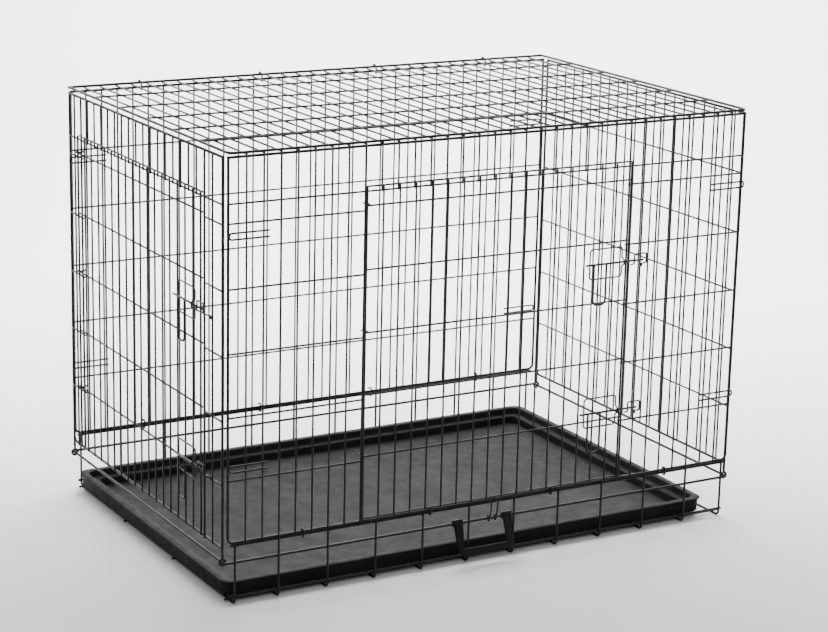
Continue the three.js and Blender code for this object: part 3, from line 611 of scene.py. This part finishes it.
# ------------------------------------------------------------ fold clip
def fold_clip():
    """A bent wire with an eye round the base's lower rail at each foot."""
    eye = EDGE_R + 0.7 + CLIP_R
    stand = -SIDE_Y - BASE_N - BASE_R - GAP - CLIP_R
    high, knee = SIDE_LOW + DOOR_FOOT - THIN_R - GAP - CLIP_R, LOW_RAIL_Z + CLIP_KNEE
    eyes = []
    for x in (CLIP_X - CLIP_W / 2, CLIP_X + CLIP_W / 2):
        curl = []
        for k in range(23, -1, -1):
            angle = math.radians(168 - 14.5 * k)
            curl.append(Vector((x, -SIDE_Y + eye * math.cos(angle), LOW_RAIL_Z + eye * math.sin(angle))))
        eyes.append(curl)
    left, right = eyes[0], eyes[1][::-1]
    outline = [(left[0].x, knee), (left[0].x, high), (right[0].x, high), (right[0].x, knee)]
    corners = [left[-1]] + [Vector((x, stand, z)) for x, z in outline] + [right[0]]
    w = Wires()
    w.tube(left + rounded(corners, 5, 6)[1:-1] + right, CLIP_R, sides=SMALL_WIRE_SIDES)
    w.piece("fold_clip_wire", "fold_clip", "latch_wire", "fold_clip")


fold_clip()


# ------------------------------------------------------------ pan
def rounded_rectangle(half_x, half_y, radius, z, steps=8):
    points = []
    for sx, sy, start in ((1, -1, -90), (1, 1, 0), (-1, 1, 90), (-1, -1, 180)):
        for k in range(steps + 1):
            angle = math.radians(start + 90 * k / steps)
            x = sx * (half_x - radius) + radius * math.cos(angle)
            y = sy * (half_y - radius) + radius * math.sin(angle)
            points.append(Vector((x, y, z)))
    return points


def pan_shell():
    half_x, half_y = POST_X - PAN_END_CLEAR, SIDE_Y - EDGE_R - PAN_CLEAR
    low, top = PAN_LOW, PAN_LOW + PAN_RIM_H
    step, floor = top - PAN_STEP, low + PAN_WALL
    # (inset, height, corner radius) from the middle of the underside, round the rim, to the pan's floor
    under = [
        (36, low, 12), (31.5, low + 0.2, 13), (30.3, low + 1.2, 14), (30, low + 3, 14),
        (29.2, step - 3.6, 15), (28.2, step - 2.7, 15), (26, step - 2.4, 16),
        (10, step - 2.2, 19), (8.4, step - 3, 19), (7.8, step - 5, 19),
        (7.2, low + 4.6, 19), (6.7, low + 3.6, 19),
    ]
    outer = [
        (5.6, low + 3.3, 20), (4.6, low + 3.7, 20), (4.2, low + 4.7, 20), (3.2, top - 4.4, 21),
        (2.6, top - 2.9, 21), (1.2, top - 2.4, 22), (0.3, top - 1.9, 22), (0, top - 1.2, 22),
        (0.3, top - 0.5, 22), (1.2, top, 22),
    ]
    inner = [
        (12.6, top, 18), (13.8, top - 0.4, 17), (14.5, top - 1.4, 17), (15.2, step + 1.4, 16),
        (16, step + 0.4, 16), (17.4, step, 15), (29.4, step, 13), (31, step - 0.6, 13), (31.9, step - 2, 12),
        (32.5, floor + 2.5, 12), (33.4, floor + 0.7, 12), (35.5, floor, 12), (60, floor, 10),
    ]
    profile = under + outer + inner
    verts, faces = [], []
    for inset, z, radius in profile:
        verts += rounded_rectangle(half_x - inset, half_y - inset, radius, z)
    count = len(verts) // len(profile)
    for r in range(len(profile) - 1):
        for k in range(count):
            n = (k + 1) % count
            faces.append((r * count + k, r * count + n, (r + 1) * count + n, (r + 1) * count + k))
    faces.append(tuple(range(count - 1, -1, -1)))
    faces.append(tuple(range((len(profile) - 1) * count, len(profile) * count)))
    verts = [(v + Vector((PAN_SHIFT, 0, 0))) * MM for v in verts]
    finish_piece("pan_shell", verts, faces, "pan", "pan_plastic", "pan")


pan_shell()


# ------------------------------------------------------------ carry handle
def carry_handle():
    """The CAD node itself, with softened edges."""
    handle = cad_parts["carry_handle"]
    handle.data.materials.clear()
    handle.data.materials.append(MATERIALS["handle_plastic"])
    handle.data.polygons.foreach_set("use_smooth", [True] * len(handle.data.polygons))
    soften = handle.modifiers.new("soft_edges", "BEVEL")
    soften.width = 1.1 * MM
    soften.segments = 3
    soften.limit_method = "ANGLE"
    soften.angle_limit = math.radians(35)
    normals = handle.modifiers.new("even_normals", "WEIGHTED_NORMAL")
    normals.keep_sharp = False


carry_handle()

# ------------------------------------------------------------ studio, in metres
SWEEP_FRONT, SWEEP_BACK, SWEEP_SIDE, SWEEP_HEIGHT, SWEEP_BEND = -8.0, 3.4, 9.0, 6.0, 1.6
SWEEP_TURN = -29  # degrees, so that the paper stands square to the camera
# The grey is painted shade: the paper's colour darkens towards the front, in place of light falling off
# there.
PAPER_PAINTED_SHADE_GREY, PAPER_WHITE = (0.62, 0.62, 0.625), (0.97, 0.97, 0.975)
PAINTED_SHADE_FULL_TO, PAPER_WHITE_FROM = -0.9, 1.0


def studio_paper_painted_shade():
    """Pale paper whose colour is darkened to grey in front of the object as painted shade, and is white
    behind it.
    """
    mat, tree, bsdf = node_material("studio_paper_painted_shade", (0.9, 0.9, 0.9), 0.9)
    coords = tree.nodes.new("ShaderNodeTexCoord")
    place = tree.nodes.new("ShaderNodeSeparateXYZ")
    tree.links.new(coords.outputs["Object"], place.inputs["Vector"])
    depth = tree.nodes.new("ShaderNodeMapRange")
    depth.interpolation_type = "SMOOTHSTEP"
    depth.inputs["From Min"].default_value = PAINTED_SHADE_FULL_TO
    depth.inputs["From Max"].default_value = PAPER_WHITE_FROM
    tree.links.new(place.outputs["Y"], depth.inputs["Value"])
    # Ramp from the painted-shade grey in front to the paper's own white behind.
    painted_shade_ramp = tree.nodes.new("ShaderNodeValToRGB")
    painted_shade_ramp.color_ramp.elements[0].color = (*PAPER_PAINTED_SHADE_GREY, 1)
    painted_shade_ramp.color_ramp.elements[1].color = (*PAPER_WHITE, 1)
    tree.links.new(depth.outputs["Result"], painted_shade_ramp.inputs["Fac"])
    tree.links.new(painted_shade_ramp.outputs["Color"], bsdf.inputs["Base Color"])
    return mat


def studio_sweep():
    """A floor that bends up into the backdrop."""
    steps = 16
    path = [(SWEEP_FRONT, 0.0), (SWEEP_BACK - SWEEP_BEND, 0.0)]
    for k in range(1, steps + 1):
        angle = math.pi / 2 * k / steps
        y = SWEEP_BACK - SWEEP_BEND + SWEEP_BEND * math.sin(angle)
        path.append((y, SWEEP_BEND - SWEEP_BEND * math.cos(angle)))
    path.append((SWEEP_BACK, SWEEP_HEIGHT))
    verts = []
    for y, z in path:
        verts += [(-SWEEP_SIDE, y, z), (SWEEP_SIDE, y, z)]
    faces = [(2 * i, 2 * i + 1, 2 * i + 3, 2 * i + 2) for i in range(len(path) - 1)]
    mesh = bpy.data.meshes.new("studio_sweep")
    mesh.from_pydata(verts, [], faces)
    mesh.polygons.foreach_set("use_smooth", [True] * len(mesh.polygons))
    mesh.materials.append(studio_paper_painted_shade())
    sweep = bpy.data.objects.new("studio_sweep", mesh)
    bpy.context.scene.collection.objects.link(sweep)
    sweep.rotation_euler = (0, 0, math.radians(SWEEP_TURN))


def area_light(name, location, target, size, energy):
    data = bpy.data.lights.new(name, "AREA")
    data.shape = "RECTANGLE"
    data.size, data.size_y = size
    data.energy = energy
    light = bpy.data.objects.new(name, data)
    light.location = location
    aim = Vector(target) - Vector(location)
    light.rotation_euler = aim.to_track_quat("-Z", "Y").to_euler()
    bpy.context.scene.collection.objects.link(light)


def studio_world():
    world = bpy.data.worlds.new("studio_world")
    bpy.context.scene.world = world
    world.use_nodes = True
    background = world.node_tree.nodes["Background"]
    background.inputs["Color"].default_value = (0.95, 0.95, 0.955, 1)
    background.inputs["Strength"].default_value = 0.5


studio_sweep()
area_light("overhead", (0.5, 0.9, 3.3), (0.1, 0, 0), (3.4, 3.0), 130)
area_light("backdrop", (1.2, 1.5, 3.4), (2.0, 3.6, 0.6), (3.4, 1.4), 480)
area_light("front_fill", (-2.4, -3.0, 2.6), (0, 0, 0.4), (2.6, 2.6), 35)
studio_world()

# ------------------------------------------------------------ camera, at the photograph's angle, in metres
CAMERA_PLACE = (-2.1974, -3.8574, 1.5602)
CAMERA_FORWARD, CAMERA_UP = (0.4792, 0.8391, -0.2575), (0.1091, 0.2342, 0.9661)
CAMERA_LENS, CAMERA_SHIFT = 103.9, (0.0133, -0.0012)


def photo_camera():
    data = bpy.data.cameras.new("camera")
    data.sensor_width = 36
    data.lens = CAMERA_LENS
    data.shift_x, data.shift_y = CAMERA_SHIFT
    data.clip_end = 60
    camera = bpy.data.objects.new("camera", data)
    bpy.context.scene.collection.objects.link(camera)
    bpy.context.scene.camera = camera
    forward = Vector(CAMERA_FORWARD)
    right = forward.cross(Vector(CAMERA_UP)).normalized()
    up = right.cross(forward).normalized()
    turn = Matrix((right, up, -forward)).transposed().to_4x4()
    camera.matrix_world = Matrix.Translation(CAMERA_PLACE) @ turn


photo_camera()
